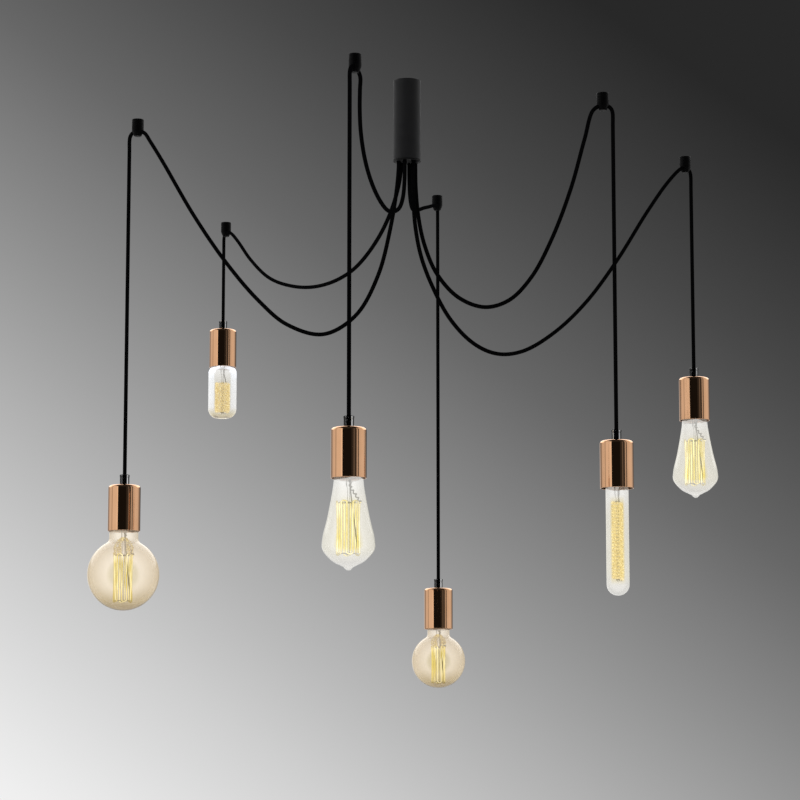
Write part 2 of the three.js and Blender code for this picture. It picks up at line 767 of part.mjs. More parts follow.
lamps.forEach((lamp, index) => {
  const number = index + 1;
  const route = cordRoute(lamp);
  const end = route[route.length - 1];
  addPiece(group, `hook_${number}`, makeHook(lamp, route), matteBlack);
  addPiece(group, `cord_swag_${number}`, tube(route, cordRadius, cordSides), cordBlack);

  const pendant = new THREE.Group();
  pendant.position.set(end.x, end.y, -lamp.cupTop);
  const dropLength = pivotHeight + lamp.cupTop - cordEnd;
  const drop = addPiece(pendant, `cord_drop_${number}`, makeDrop(dropLength), cordBlack);
  drop.position.z = cordEnd;
  addPiece(pendant, `cord_grip_${number}`, makeGrip(), clearPlastic);
  addPiece(pendant, `socket_cup_${number}`, makeCup(), copper);
  addPiece(pendant, `lampholder_${number}`, makeHolder(), matteBlack);
  addPiece(pendant, `bulb_base_${number}`, makeBase(), capMetal);
  addPiece(pendant, `bulb_glass_${number}`, makeGlass(lamp.bulb.outline, lamp.bulb.bottom),
    lamp.bulb.glass);
  addPiece(pendant, `bulb_filament_${number}`, lamp.bulb.filament(), glow);
  group.add(pendant);
});

export default group;
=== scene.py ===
"""Looks of the pendant light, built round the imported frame. Everything is in metres."""

import math

import bmesh
import bpy
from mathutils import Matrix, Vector


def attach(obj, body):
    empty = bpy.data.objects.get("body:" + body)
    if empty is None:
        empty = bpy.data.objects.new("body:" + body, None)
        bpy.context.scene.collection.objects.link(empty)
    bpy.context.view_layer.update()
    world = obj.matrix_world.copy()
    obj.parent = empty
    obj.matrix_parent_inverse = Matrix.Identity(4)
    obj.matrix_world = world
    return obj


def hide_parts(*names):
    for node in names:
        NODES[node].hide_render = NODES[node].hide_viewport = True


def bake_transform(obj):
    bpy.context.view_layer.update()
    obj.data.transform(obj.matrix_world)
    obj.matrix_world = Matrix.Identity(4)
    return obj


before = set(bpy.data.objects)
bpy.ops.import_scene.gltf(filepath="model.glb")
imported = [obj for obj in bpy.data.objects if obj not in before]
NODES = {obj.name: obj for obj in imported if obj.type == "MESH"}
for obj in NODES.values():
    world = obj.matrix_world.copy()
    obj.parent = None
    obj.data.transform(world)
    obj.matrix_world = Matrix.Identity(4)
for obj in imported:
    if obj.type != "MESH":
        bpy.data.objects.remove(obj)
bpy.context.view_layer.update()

TURN = 2 * math.pi
TINY = 1e-7

# Camera

camera_data = bpy.data.cameras.new("camera")
camera_data.sensor_width = 36
camera_data.lens = 117
camera_data.clip_start = 0.05
camera_data.clip_end = 60
camera = bpy.data.objects.new("camera", camera_data)
camera.location = (-0.0089, -3.227, -0.857)
camera.rotation_euler = (math.radians(97.883), 0, 0)
bpy.context.scene.collection.objects.link(camera)
bpy.context.scene.camera = camera

# Cord routes, repeated from the part's source

CORD_RADIUS = 0.0026
CORD_BEND = 0.0104
SEAT_DEPTH = 0.016
SEAT_HALF = 0.003
OUTLET_CIRCLE = 0.011
OUTLET_DROP = 0.007
CANOPY_END = -0.105
PIVOT_HEIGHT = -0.0293
CORD_START = -0.085

# The points of a swag are (reach from the outlet, height). The angles are in degrees: climb is the slope of
# the cord as it enters the hook, lean tilts the place where it starts to swing, turn is the bulb's own turn.
LAMPS = [
    dict(hook=(-0.363, 0.201), cup_top=0.496, outlet=195, climb=50, shape="large_globe", turn=13, lean=20,
         swag=[(0.003, -0.142), (0.012, -0.190), (0.030, -0.249), (0.062, -0.297), (0.110, -0.318),
               (0.166, -0.301), (0.210, -0.266), (0.262, -0.210), (0.313, -0.143), (0.366, -0.062),
               (0.386, -0.033)]),
    dict(hook=(-0.289, 0.881), cup_top=0.173, outlet=135, climb=20, shape="capsule", turn=60, lean=20,
         swag=[(0.005, -0.126), (0.020, -0.143), (0.050, -0.164), (0.098, -0.184), (0.180, -0.202),
               (0.265, -0.206), (0.385, -0.197), (0.515, -0.174), (0.650, -0.137), (0.760, -0.089),
               (0.840, -0.045), (0.884, -0.024)]),
    dict(hook=(-0.064, -0.128), cup_top=0.463, outlet=255, climb=80, shape="teardrop", turn=8, lean=10,
         swag=[(0.001, -0.134), (0.005, -0.154), (0.014, -0.169), (0.029, -0.177), (0.046, -0.179),
               (0.066, -0.171), (0.088, -0.153), (0.106, -0.127), (0.117, -0.095), (0.120, -0.066),
               (0.1196, -0.042)]),
    dict(hook=(0.048, 0.680), cup_top=0.601, outlet=75, climb=12, shape="small_globe", turn=7, lean=20,
         swag=[(0.002, -0.125), (0.010, -0.139), (0.028, -0.148), (0.060, -0.150), (0.110, -0.141),
               (0.200, -0.122), (0.320, -0.094), (0.430, -0.069), (0.530, -0.046), (0.620, -0.026)]),
    dict(hook=(0.254, 0.060), cup_top=0.454, outlet=15, climb=72, shape="long_tube", turn=60, lean=20,
         swag=[(0.0005, -0.138), (0.004, -0.176), (0.012, -0.212), (0.028, -0.248), (0.056, -0.277),
               (0.090, -0.288), (0.122, -0.278), (0.152, -0.247), (0.180, -0.195), (0.206, -0.128),
               (0.225, -0.062)]),
    dict(hook=(0.400, 0.421), cup_top=0.319, outlet=315, climb=42, shape="teardrop", turn=1, lean=20,
         swag=[(0.0, -0.148), (0.004, -0.190), (0.015, -0.227), (0.036, -0.262), (0.069, -0.299),
               (0.113, -0.325), (0.160, -0.334), (0.213, -0.325), (0.280, -0.292), (0.350, -0.241),
               (0.420, -0.173), (0.490, -0.094), (0.540, -0.043)]),
]


def on_circle(radius, angle, height):
    return Vector((radius * math.cos(angle), radius * math.sin(angle), height))


def lamp_route(lamp):
    """The listed points of one cord, from inside the canopy to the hook's far side."""
    start = on_circle(OUTLET_CIRCLE, math.radians(lamp["outlet"]), 0)
    hook = Vector((*lamp["hook"], 0))
    reach = (hook - start).length
    heading = (hook - start).normalized()
    climb = math.radians(lamp["climb"])
    centre = -SEAT_DEPTH - CORD_BEND
    profile = [(0, CORD_START), (0, CANOPY_END - OUTLET_DROP), *lamp["swag"],
               (reach - SEAT_HALF - CORD_BEND * math.sin(climb),
                -SEAT_DEPTH - CORD_BEND * (1 - math.cos(climb))), (reach, -SEAT_DEPTH)]
    for degrees in (60, 30, 0):
        angle = math.radians(degrees)
        profile.append((reach + SEAT_HALF + CORD_BEND * math.cos(angle),
                        centre + CORD_BEND * math.sin(angle)))
    points = [start + heading * out + Vector((0, 0, height)) for out, height in profile]
    return points, heading


def catmull_rom(points, spacing):
    """A smooth line through the points, in steps no longer than the spacing."""
    ends = [2 * points[0] - points[1], *points, 2 * points[-1] - points[-2]]
    line = []
    for p0, p1, p2, p3 in zip(ends, ends[1:], ends[2:], ends[3:]):
        t1 = (p1 - p0).length ** 0.5
        t2 = t1 + (p2 - p1).length ** 0.5
        t3 = t2 + (p3 - p2).length ** 0.5
        steps = max(2, math.ceil((p2 - p1).length / spacing))
        for i in range(steps):
            t = t1 + (t2 - t1) * i / steps
            a1 = p0 * ((t1 - t) / t1) + p1 * (t / t1)
            a2 = p1 * ((t2 - t) / (t2 - t1)) + p2 * ((t - t1) / (t2 - t1))
            a3 = p2 * ((t3 - t) / (t3 - t2)) + p3 * ((t - t2) / (t3 - t2))
            b1 = a1 * ((t2 - t) / t2) + a2 * (t / t2)
            b2 = a2 * ((t3 - t) / (t3 - t1)) + a3 * ((t - t1) / (t3 - t1))
            line.append(b1 * ((t2 - t) / (t2 - t1)) + b2 * ((t - t1) / (t2 - t1)))
    line.append(points[-1].copy())
    return line


# Meshes

CREASE = 34
ROUND = 96


def make_object(name, vertices, faces, materials, face_materials=None, crease=CREASE):
    """A mesh object with smooth faces and sharp edges where two faces meet at a steep angle."""
    mesh = bpy.data.meshes.new(name)
    mesh.from_pydata([tuple(v) for v in vertices], [], faces)
    for material in materials:
        mesh.materials.append(material)
    if face_materials:
        mesh.polygons.foreach_set("material_index", face_materials)
    obj = bpy.data.objects.new(name, mesh)
    bpy.context.scene.collection.objects.link(obj)
    shade(obj, crease)
    return obj


def shade(obj, crease):
    work = bmesh.new()
    work.from_mesh(obj.data)
    bmesh.ops.recalc_face_normals(work, faces=work.faces)
    limit = math.radians(crease)
    for face in work.faces:
        face.smooth = True
    for edge in work.edges:
        edge.smooth = len(edge.link_faces) != 2 or edge.calc_face_angle(0) < limit
    work.to_mesh(obj.data)
    work.free()


THREAD_FADE = 0.0015


def lathe_data(outline, sides, centre=(0, 0, 0), closed=False, thread=None):
    """Vertices and faces of an outline of (radius, height) turned about the Z axis.

    thread is (radius, depth, pitch, low, high): rows of that radius get a screw thread, which fades out at
    its ends.
    """
    vertices, rows = [], []
    for radius, height in outline:
        if radius < TINY:
            rows.append([len(vertices)])
            vertices.append((centre[0], centre[1], centre[2] + height))
            continue
        row = []
        for i in range(sides):
            angle = TURN * i / sides
            r = radius
            if thread and abs(radius - thread[0]) < 1e-6 and thread[3] <= height <= thread[4]:
                fade = min(1, (height - thread[3]) / THREAD_FADE, (thread[4] - height) / THREAD_FADE)
                phase = TURN * height / thread[2] - angle
                r -= thread[1] * max(0, fade) * (0.5 - 0.5 * math.cos(phase))
            row.append(len(vertices))
            vertices.append((centre[0] + r * math.cos(angle), centre[1] + r * math.sin(angle),
                             centre[2] + height))
        rows.append(row)
    pairs = list(zip(rows, rows[1:]))
    if closed:
        pairs.append((rows[-1], rows[0]))
    faces, owner = [], []
    for index, (low, high) in enumerate(pairs):
        if len(low) == 1 and len(high) == 1:
            continue
        for i in range(sides):
            j = (i + 1) % sides
            if len(low) == 1:
                faces.append((low[0], high[j], high[i]))
            elif len(high) == 1:
                faces.append((low[i], low[j], high[0]))
            else:
                faces.append((low[i], low[j], high[j], high[i]))
            owner.append(index)
    return vertices, faces, owner


def lathe(name, outline, sides, centre, material, closed=False, thread=None, crease=CREASE):
    vertices, faces, _ = lathe_data(outline, sides, centre, closed, thread)
    return make_object(name, vertices, faces, [material], crease=crease)


CLEAR_CORNER = math.radians(25)
LONGEST_CUT = 0.45
LONG_SIDE = 5
BESIDE_ARC = 1.8


def rounded(outline, radius, closed=False, steps=3):
    """The outline with a small arc at each clear corner, and a row beside it that keeps the sides flat."""
    points = [Vector(p) for p in outline]
    count = len(points)
    result = []
    for i, point in enumerate(points):
        before, after = points[i - 1], points[(i + 1) % count]
        a, b = before - point, after - point
        at_end = not closed and i in (0, count - 1)
        if at_end or min(a.length, b.length) < TINY or math.pi - a.angle(b) < CLEAR_CORNER:
            result.append((point.x, point.y))
            continue
        size = min(radius, a.length * LONGEST_CUT, b.length * LONGEST_CUT)
        p0, p2 = point + a.normalized() * size, point + b.normalized() * size
        corner = []
        for k in range(steps + 1):
            t = k / steps
            corner.append(p0 * (1 - t) ** 2 + point * 2 * t * (1 - t) + p2 * t ** 2)
        if a.length > size * LONG_SIDE:
            corner.insert(0, point + a.normalized() * size * BESIDE_ARC)
        if b.length > size * LONG_SIDE:
            corner.append(point + b.normalized() * size * BESIDE_ARC)
        result.extend((max(q.x, 0), q.y) for q in corner)
    return result


def arc(centre_radius, centre_height, radius, start, end, steps):
    points = []
    for i in range(steps + 1):
        angle = math.radians(start + (end - start) * i / steps)
        r = centre_radius + radius * math.cos(angle)
        points.append((0 if r < TINY else r, centre_height + radius * math.sin(angle)))
    return points


def tube_data(points, radius, sides):
    """Vertices, faces and (share of the way round, length run) places of a closed tube along the points."""
    vertices, faces, places = [], [], []
    tangents = []
    for i in range(len(points)):
        tangents.append((points[min(i + 1, len(points) - 1)] - points[max(i - 1, 0)]).normalized())
    side = tangents[0].orthogonal().normalized()
    run = 0
    for i, (point, tangent) in enumerate(zip(points, tangents)):
        if i:
            side = (side - tangent * side.dot(tangent)).normalized()
            run += (point - points[i - 1]).length
        other = tangent.cross(side)
        for k in range(sides):
            angle = TURN * k / sides
            vertices.append(point + (side * math.cos(angle) + other * math.sin(angle)) * radius)
            places.append((k / sides, run))
    for i in range(len(points) - 1):
        for k in range(sides):
            j = (k + 1) % sides
            faces.append((i * sides + k, i * sides + j, (i + 1) * sides + j, (i + 1) * sides + k))
    faces.append(tuple(reversed(range(sides))))
    faces.append(tuple(range((len(points) - 1) * sides, len(points) * sides)))
    return vertices, faces, places


def wire(points, radius, sides=6):
    return tube_data(points, radius, sides)[:2]


def merged(parts):
    """Several (vertices, faces) pairs as one."""
    vertices, faces = [], []
    for part_vertices, part_faces in parts:
        base = len(vertices)
        vertices.extend(part_vertices)
        faces.extend(tuple(base + i for i in face) for face in part_faces)
    return vertices, faces


def cut_away(obj, cutter):
    """Takes the cutter's volume out of the object's mesh."""
    modifier = obj.modifiers.new("cut", "BOOLEAN")
    modifier.operation = "DIFFERENCE"
    modifier.solver = "EXACT"
    modifier.object = cutter
    bpy.context.view_layer.update()
    evaluated = obj.evaluated_get(bpy.context.evaluated_depsgraph_get())
    mesh = bpy.data.meshes.new_from_object(evaluated)
    obj.modifiers.clear()
    old = obj.data
    obj.data = mesh
    bpy.data.meshes.remove(old)
    bpy.data.objects.remove(cutter)


# Materials


def grey(value):
    return (value, value, value)


class Nodes:
    """A node tree with short ways to add what it needs."""

    def __init__(self, tree):
        self.tree = tree

    def link(self, source, target):
        self.tree.links.new(source, target)

    def node(self, kind, **values):
        made = self.tree.nodes.new(kind)
        for key, value in values.items():
            setattr(made, key, value)
        return made

    def split(self, vector):
        made = self.node("ShaderNodeSeparateXYZ")
        self.link(vector, made.inputs[0])
        return made.outputs

    def math(self, operation, *values):
        made = self.node("ShaderNodeMath", operation=operation)
        for socket, value in zip(made.inputs, values):
            if isinstance(value, (int, float)):
                socket.default_value = value
            else:
                self.link(value, socket)
        return made.outputs[0]

    def ramp(self, value, stops):
        made = self.node("ShaderNodeValToRGB")
        elements = made.color_ramp.elements
        while len(elements) < len(stops):
            elements.new(0.5)
        for element, (place, color) in zip(elements, stops):
            element.position = place
            element.color = (*color, 1)
        self.link(value, made.inputs["Fac"])
        return made.outputs["Color"]

    def spread(self, value, low, high, start=0.3, end=0.7, curve="LINEAR"):
        """A value that goes from start to end, as one that goes from low to high."""
        made = self.node("ShaderNodeMapRange", interpolation_type=curve)
        for name, number in (("From Min", start), ("From Max", end), ("To Min", low), ("To Max", high)):
            made.inputs[name].default_value = number
        self.link(value, made.inputs["Value"])
        return made.outputs["Result"]

    def step(self, value, start, end):
        return self.spread(value, 0, 1, start, end, "SMOOTHSTEP")

    def mix(self, factor, first, second, blend="MIX"):
        made = self.node("ShaderNodeMix", data_type="RGBA", blend_type=blend)
        self.link(factor, made.inputs["Factor"])
        for name, value in (("A", first), ("B", second)):
            if isinstance(value, tuple):
                made.inputs[name].default_value = (*value, 1)
            else:
                self.link(value, made.inputs[name])
        return made.outputs["Result"]


class Shader(Nodes):
    """One Principled material."""

    def __init__(self, name, color, roughness, metallic=0.0):
        self.material = bpy.data.materials.new(name)
        self.material.use_nodes = True
        super().__init__(self.material.node_tree)
        self.bsdf = self.tree.nodes["Principled BSDF"]
        self.set("Base Color", (*color, 1))
        self.set("Roughness", roughness)
        self.set("Metallic", metallic)

    def set(self, name, value):
        self.bsdf.inputs[name].default_value = value

    def drive(self, name, source):
        self.link(source, self.bsdf.inputs[name])

    def coords(self, kind="Object", scale=(1, 1, 1)):
        source = self.node("ShaderNodeTexCoord").outputs[kind]
        mapping = self.node("ShaderNodeMapping")
        mapping.inputs["Scale"].default_value = scale
        self.link(source, mapping.inputs["Vector"])
        return mapping.outputs["Vector"]

    def noise(self, scale, detail=3, rough=0.55, vector=None):
        made = self.node("ShaderNodeTexNoise")
        made.inputs["Scale"].default_value = scale
        made.inputs["Detail"].default_value = detail
        made.inputs["Roughness"].default_value = rough
        self.link(vector or self.coords(), made.inputs["Vector"])
        return made.outputs["Fac"]

    def facing(self):
        """0 where the surface is seen face on, 1 where it is seen edge on."""
        weight = self.node("ShaderNodeLayerWeight")
        weight.inputs["Blend"].default_value = 0.5
        return weight.outputs["Facing"]

    def bump(self, height, distance, strength):
        made = self.node("ShaderNodeBump")
        made.inputs["Distance"].default_value = distance
        made.inputs["Strength"].default_value = strength
        self.link(height, made.inputs["Height"])
        self.drive("Normal", made.outputs["Normal"])

    def color(self, socket):
        self.drive("Base Color", socket)

    def roughness(self, socket):
        self.drive("Roughness", socket)


def powder_coat(name, dark, light):
    s = Shader(name, dark, 0.6)
    s.set("Specular IOR Level", 0.16)
    fine = s.noise(1400, 2)
    s.color(s.ramp(s.noise(60, 4), [(0.3, dark), (0.7, light)]))
    s.roughness(s.spread(fine, 0.5, 0.68))
    s.bump(fine, 0.00006, 0.5)
    return s.material


def moulded(name, dark, light, rough=0.42, gloss=0.5):
    s = Shader(name, dark, rough)
    s.set("Specular IOR Level", gloss)
    s.color(s.ramp(s.noise(90, 3), [(0.3, dark), (0.7, light)]))
    s.roughness(s.spread(s.noise(500, 3), rough - 0.06, rough + 0.08))
    s.bump(s.noise(2200, 2), 0.00002, 0.4)
    return s.material


BRAID_ROUND = 8
BRAID_PER_METRE = 480


def braided(name):
    s = Shader(name, (0.006, 0.006, 0.0065), 0.75)
    s.set("Specular IOR Level", 0.0)
    places = s.split(s.coords("UV"))
    around = s.math("MULTIPLY", places[0], TURN * BRAID_ROUND)
    along = s.math("MULTIPLY", places[1], TURN * BRAID_PER_METRE)
    one = s.math("SINE", s.math("ADD", around, along))
    two = s.math("SINE", s.math("SUBTRACT", around, along))
    weave = s.math("MAXIMUM", s.math("ABSOLUTE", one), s.math("ABSOLUTE", two))
    s.color(s.ramp(weave, [(0.4, (0.0012, 0.0012, 0.0013)), (1.0, (0.0045, 0.0045, 0.005))]))
    s.roughness(s.spread(s.noise(900, 2), 0.66, 0.85))
    s.bump(weave, 0.00025, 0.6)
    return s.material


def polished_copper():
    s = Shader("polished_copper", (0.80, 0.44, 0.27), 0.06, 1.0)
    s.color(s.ramp(s.noise(35, 4), [(0.3, (0.77, 0.43, 0.235)), (0.7, (0.82, 0.47, 0.27))]))
    s.roughness(s.spread(s.noise(120, 5, 0.7), 0.045, 0.085))
    s.bump(s.noise(45, 1), 0.00004, 0.25)
    return s.material


def plain_metal(name, dark, light, rough, brushed=(1, 1, 1)):
    s = Shader(name, dark, rough, 1.0)
    grain = s.noise(300, 4, 0.6, s.coords(scale=brushed))
    s.color(s.ramp(grain, [(0.3, dark), (0.7, light)]))
    s.roughness(s.spread(grain, rough - 0.08, rough + 0.08))
    s.bump(grain, 0.00002, 0.3)
    return s.material


def clear_plastic():
    """Smoky see-through plastic, clear face on and painted nearly black where it is seen edge on, as painted
    shade.
    """
    s = Shader("clear_plastic", (0.8, 0.8, 0.8), 0.08)
    s.set("IOR", 1.2)
    s.set("Transmission Weight", 1.0)
    s.roughness(s.spread(s.noise(400, 3), 0.05, 0.12))
    # Painted shade: the colour goes from clear face on to nearly black edge on
    facing = s.math("ADD", s.facing(), s.spread(s.noise(300, 2), -0.03, 0.03))
    s.color(s.ramp(facing, [(0.22, grey(0.80)), (0.32, grey(0.12)), (0.40, grey(0.01))]))
    return s.material


def bulb_glass(name, tint, body, warm, zone, alpha, facings, rim, rim_facings, rim_heights=(0.35, 0.9)):
    """Thin glass with a painted glow from inside: faint face on, denser where it is seen edge on.

    body lists the painted glow colours down the bulb from mouth to end, darker towards the end as painted
    shade.
    warm is the painted glow round the filament, and zone is (start and end of the filament as shares of the
    height, how far it reaches towards the edge). alpha goes from face on to edge on over facings. The last
    three arguments give a painted rim: colours that multiply the colour between two facings, as painted
    highlight where they are above 1 and painted shade where they are below 1, with one colour at each of two
    heights down the bulb.
    """
    s = Shader(name, tint, 0.03)
    s.set("IOR", 1.5)
    s.set("Specular IOR Level", 0.25)
    down = s.split(s.coords("UV"))[1]
    facing = s.facing()
    # Painted rim: colours laid on the edges by facing and height, painted highlight above 1, painted shade
    # below 1
    at_edge = s.spread(facing, 0, 1, *rim_facings)
    rim_tint = s.ramp(down, list(zip(rim_heights, rim)))
    shaded = tuple(0.85 * t for t in tint)
    s.color(s.mix(at_edge, s.ramp(s.noise(28, 3), [(0.35, shaded), (0.65, tint)]), rim_tint, "MULTIPLY"))
    # Painted glow round the filament and down the bulb, in place of the light the glass gets from inside
    begin, finish, reach = zone
    near = s.math("MULTIPLY", s.spread(down, 0, 1, begin - 0.06, begin + 0.03),
                  s.spread(down, 1, 0, finish - 0.01, finish + 0.06))
    near = s.math("MULTIPLY", near, s.spread(facing, 1, 0, reach * 0.6, reach * 1.3))
    cloud = s.spread(s.noise(30, 3), -0.03, 0.03)
    lit = s.mix(near, s.ramp(s.math("ADD", down, cloud), body), warm)
    s.drive("Emission Color", s.mix(at_edge, lit, rim_tint, "MULTIPLY"))
    dense = s.spread(facing, *alpha, *facings)
    s.drive("Alpha", dense)
    # Strong enough that the front wall and the back wall together show about the colour as written
    through = s.math("SUBTRACT", 1, dense)
    both_walls = s.math("SUBTRACT", 1, s.math("MULTIPLY", through, through))
    s.drive("Emission Strength", s.math("SUBTRACT", s.math("DIVIDE", 1, both_walls), 0.3))
    s.roughness(s.spread(s.noise(70, 3), 0.02, 0.05))
    s.bump(s.noise(18, 2), 0.0002, 0.25)
    s.material.cycles.emission_sampling = "NONE"
    return s.material


def stem_glass():
    """Clear glass with the dark outlines that a thick rod of it shows, painted into its colour as painted
    shade along its edges.
    """
    s = Shader("stem_glass", (0.3, 0.28, 0.24), 0.05)
    s.set("IOR", 1.5)
    facing = s.math("ADD", s.facing(), s.spread(s.noise(350, 3), -0.12, 0.12))
    s.color(s.ramp(facing, [(0.2, (0.5, 0.48, 0.44)), (0.4, (0.03, 0.025, 0.018))]))
    s.drive("Alpha", s.spread(facing, 0.05, 0.95, 0.2, 0.42))
    s.roughness(s.spread(s.noise(200, 2), 0.03, 0.1))
    return s.material


def glowing(name, deep, hot, side, scale, stretch=(1, 1, 1)):
    """Hot wire, from deep gold to nearly white from place to place, and darker along its sides as painted
    shade.
    """
    s = Shader(name, deep, 0.6)
    painted_side_shade = s.spread(s.facing(), 0, 1, 0.07, 0.20)
    spots = s.ramp(s.noise(scale, 2, 0.55, s.coords(scale=stretch)), [(0.42, deep), (0.58, hot)])
    s.drive("Emission Color", s.mix(painted_side_shade, spots, side))
    s.set("Emission Strength", 1.25)
    s.material.cycles.emission_sampling = "NONE"
    return s.material


M_POWDER = powder_coat("powder_black", (0.016, 0.016, 0.017), (0.021, 0.021, 0.022))
# The end plate and its spigot take the canopy's black powder coat made darker, as painted shade
M_PLATE = powder_coat("plate_black", (0.005, 0.005, 0.005), (0.008, 0.008, 0.008))
M_SCREW = plain_metal("screw_black", (0.03, 0.03, 0.032), (0.05, 0.05, 0.052), 0.4)
M_HOOK = moulded("hook_black", (0.0016, 0.0016, 0.0018), (0.0028, 0.0028, 0.003), 0.45, 0.05)
M_HOLDER = moulded("holder_black", (0.010, 0.010, 0.010), (0.018, 0.017, 0.017), 0.3)
M_CERAMIC = moulded("block_white", (0.78, 0.77, 0.73), (0.84, 0.83, 0.8), 0.4)
M_CORD = braided("braided_cord")
M_COPPER = polished_copper()
M_STEEL = plain_metal("zinc_steel", (0.5, 0.5, 0.51), (0.66, 0.66, 0.67), 0.38)
M_CAP = plain_metal("cap_metal", (0.66, 0.65, 0.62), (0.78, 0.77, 0.74), 0.24, (1, 1, 12))
M_PLASTIC = clear_plastic()

# The tints of the glass, and its painted glow colours as (share of the height, colour), which darken towards
# the end as painted shade. SHADE is a painted shadow on the glass just under the cup's mouth.
CLEAR = (0.36, 0.36, 0.35)
AMBER = (0.34, 0.27, 0.18)
SHADE = (0.16, 0.12, 0.09)
CLEAR_BODY = [(0, SHADE), (0.009, SHADE), (0.012, (0.82, 0.81, 0.78)), (0.25, (0.74, 0.71, 0.62)),
              (0.8, (0.74, 0.71, 0.61)), (0.92, (0.70, 0.68, 0.64)), (1, (0.64, 0.63, 0.60))]
CAPSULE_BODY = [(0, SHADE), (0.014, SHADE), (0.018, (0.74, 0.73, 0.71)), (0.25, (0.52, 0.50, 0.44)),
                (0.8, (0.50, 0.47, 0.40)), (0.95, (0.55, 0.49, 0.37)), (0.985, (0.50, 0.42, 0.28)),
                (1, (0.20, 0.15, 0.09))]
AMBER_BODY = [(0, SHADE), (0.011, SHADE), (0.014, (0.66, 0.58, 0.46)), (0.3, (0.68, 0.575, 0.425)),
              (0.7, (0.62, 0.51, 0.34)), (0.88, (0.43, 0.33, 0.16)), (0.96, (0.25, 0.175, 0.06))]
# The rims: painted shade along the lower edges of the teardrops and amber globes, painted highlight bands
# down the sides of the capsule and, faintly, of the tube.
M_TEARDROP = bulb_glass(
    "teardrop_glass", CLEAR, CLEAR_BODY, warm=(0.68, 0.60, 0.30), zone=(0.27, 0.80, 0.14),
    alpha=(0.24, 0.92), facings=(0.10, 0.75), rim=(grey(1), (0.45, 0.45, 0.44)), rim_facings=(0.72, 0.92))
M_TUBE = bulb_glass(
    "tube_glass", CLEAR, CLEAR_BODY, warm=(0.68, 0.55, 0.22), zone=(0.13, 0.84, 0.20),
    alpha=(0.26, 0.90), facings=(0.14, 0.60), rim=((1.05, 1.04, 1.02), (1.05, 1.05, 1.04)),
    rim_facings=(0.3, 0.9))
M_CAPSULE = bulb_glass(
    "capsule_glass", CLEAR, CAPSULE_BODY, warm=(0.46, 0.36, 0.18), zone=(0.34, 0.90, 0.15),
    alpha=(0.20, 0.94), facings=(0.17, 0.25), rim=((1.62, 1.68, 1.86), (1.15, 1.13, 1.02)),
    rim_facings=(0.17, 0.23), rim_heights=(0.80, 0.93))
M_AMBER = bulb_glass(
    "amber_glass", AMBER, AMBER_BODY, warm=(0.46, 0.37, 0.175), zone=(0.20, 0.88, 0.10),
    alpha=(0.25, 0.90), facings=(0.10, 0.80), rim=(grey(1), (0.14, 0.11, 0.06)), rim_facings=(0.68, 0.92))
M_STEM = stem_glass()
M_WIRE = plain_metal("support_wire", (0.03, 0.027, 0.022), (0.06, 0.052, 0.042), 0.5)
M_GLOW = glowing("strand_glow", (0.50, 0.39, 0.05), (0.98, 0.91, 0.58), side=(0.08, 0.06, 0.01), scale=130,
                 stretch=(1, 1, 0.2))
M_COIL = glowing("coil_glow", (0.12, 0.07, 0.01), (1.0, 0.92, 0.52), side=(0.46, 0.33, 0.10), scale=340)
M_CROWN = glowing("crown_glow", (0.24, 0.15, 0.0), (1.0, 0.90, 0.36), side=(0.17, 0.10, 0.0), scale=300)
M_TIP = moulded("base_insulator", (0.012, 0.012, 0.013), (0.02, 0.02, 0.022), 0.2)


# Bodies and CAD nodes


def settle(obj, body, slot, *nodes):
    """Makes an object ride on a body and stand for its CAD nodes, which it hides. The slot is not used."""
    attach(obj, body)
    if nodes:
        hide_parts(*nodes)


# Cords: each is one smooth tube from inside the canopy, over its hook and down into its grip

CORD_SIDES = 20
CORD_SPACING = 0.0045
DROP_START = PIVOT_HEIGHT - 0.012
DROP_STEPS = 10
GRIP_DEPTH = 0.0117


def unwrap_cord(cord, places):
    """UV coordinates of (share of the way round, length run), kept whole across the seam."""
    uv = cord.data.uv_layers.new(name="cord")
    for polygon in cord.data.polygons:
        ring = [places[v][0] for v in polygon.vertices]
        wraps = max(ring) - min(ring) > 0.5
        for loop in polygon.loop_indices:
            u, v = places[cord.data.loops[loop].vertex_index]
            uv.data[loop].uv = (u + 1 if wraps and u < 0.5 else u, v)


cord_lines = []
for number, lamp in enumerate(LAMPS, 1):
    points, heading = lamp_route(lamp)
    end = points[-1]
    lamp["axis"] = end
    bottom = -lamp["cup_top"] - GRIP_DEPTH
    line = catmull_rom([*points, Vector((end.x, end.y, DROP_START))], CORD_SPACING)
    first = line[-1].z
    for i in range(1, DROP_STEPS + 1):
        line.append(Vector((end.x, end.y, first + (bottom - first) * i / DROP_STEPS)))
    vertices, faces, places = tube_data(line, CORD_RADIUS, CORD_SIDES)
    cord = make_object(f"cord_{number}", vertices, faces, [M_CORD], crease=60)
    unwrap_cord(cord, places)
    cord_lines.append(line)
    centre = Vector((end.x, end.y, -SEAT_DEPTH - CORD_BEND)) - heading * CORD_BEND
    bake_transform(cord)
    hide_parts(f"cord_swag_{number}", f"cord_drop_{number}")

# Canopy

CANOPY_RADIUS = 0.0175
CANOPY_INSIDE = 0.016
TUBE_END = -0.1035
PLATE_TOP = -0.1038
SPIGOT_RADIUS = 0.0157
SPIGOT_TOP = -0.1008
CHANNEL_RADIUS = 0.0029
SCREW_CIRCLE = 0.0131
SCREW_TURN = math.radians(-15)
SCREW_HOLE = 0.0018

TUBE = [(CANOPY_INSIDE, TUBE_END), (CANOPY_RADIUS, TUBE_END), (CANOPY_RADIUS, 0), (CANOPY_INSIDE, 0)]
canopy = lathe("canopy", rounded(TUBE, 0.0005, closed=True), ROUND, (0, 0, 0), M_POWDER, closed=True)
settle(canopy, "canopy", "powder_black", "canopy_tube")


